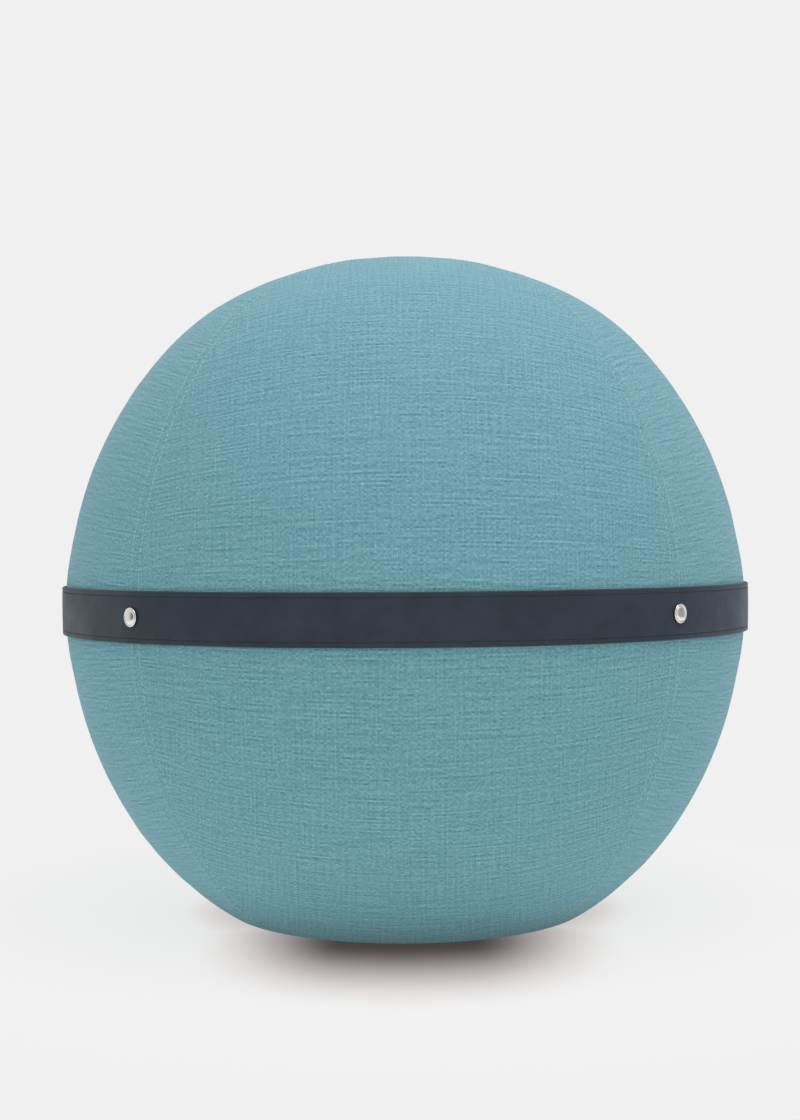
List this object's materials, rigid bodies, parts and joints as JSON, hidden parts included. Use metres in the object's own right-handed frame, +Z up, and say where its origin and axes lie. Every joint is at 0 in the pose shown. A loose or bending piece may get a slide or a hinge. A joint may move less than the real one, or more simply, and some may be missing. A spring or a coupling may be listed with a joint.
{
  "type": "sitting ball",
  "caption": "Round air-filled sitting ball in a padded woven cover, with a snapped belt round its middle, a weighted flat foot and a zip at the back.",
  "frame": {"origin": "middle of the foot, on the floor", "axes": "+Z up through the ball's axis; the front panel faces -Y; the zip is on the seam between the back and left panels"},
  "size_m": [0.5582, 0.5581, 0.5352],
  "materials": {
    "cover_weave": "teal linen-look weave, matt",
    "belt_leather": "slate faux leather, fine matt grain",
    "belt_backing": "dark woven backing",
    "snap_nickel": "polished nickel plate",
    "ball_vinyl": "grey soft vinyl, satin",
    "valve_rubber": "dark soft rubber",
    "plug_plastic": "pale moulded plastic",
    "foot_felt": "charcoal pressed felt",
    "ballast_steel": "plain steel plate",
    "pocket_cloth": "charcoal cotton cloth",
    "zip_tape": "teal woven tape",
    "zip_coil": "teal polyester coil",
    "zip_metal": "nickel-plated zinc"
  },
  "bodies": {
    "seat": {"inner_ball": "ball_vinyl", "valve_seat": "valve_rubber", "cover_panel_front": "cover_weave", "cover_panel_right": "cover_weave", "cover_panel_back": "cover_weave", "cover_panel_left": "cover_weave", "felt_ring": "foot_felt", "ballast_ring": "ballast_steel", "ballast_pocket": "pocket_cloth", "belt_face": "belt_leather", "belt_lining": "belt_backing", "snap_caps": "snap_nickel", "snap_sockets": "snap_nickel", "snap_studs": "snap_nickel", "snap_posts": "snap_nickel", "zip_tape_left": "zip_tape", "zip_tape_right": "zip_tape", "zip_coil_left": "zip_coil", "zip_coil_right": "zip_coil", "zip_top_stops": "zip_metal", "zip_bottom_stop": "zip_metal"},
    "zip_slider": {"zip_slider": "zip_metal"},
    "zip_pull": {"zip_pull": "zip_metal"},
    "valve_plug": {"valve_plug": "plug_plastic"}
  },
  "joints": [
    {"name": "zip_slide", "type": "hinge", "parent": "seat", "child": "zip_slider", "pos_m": [0.0307, -0.0307, 0.25], "axis": [-0.7071, -0.7071, 0], "range_deg": [0, 26.6]},
    {"name": "pull_swing", "type": "hinge", "parent": "zip_slider", "child": "zip_pull", "pos_m": [-0.19416, 0.19416, 0.20609], "axis": [0.7071, 0.7071, 0], "range_deg": [-7, 150]},
    {"name": "plug_pull", "type": "slide", "parent": "seat", "child": "valve_plug", "axis": [0, 0, -1], "range_m": [0, 0.013]}
  ]
}
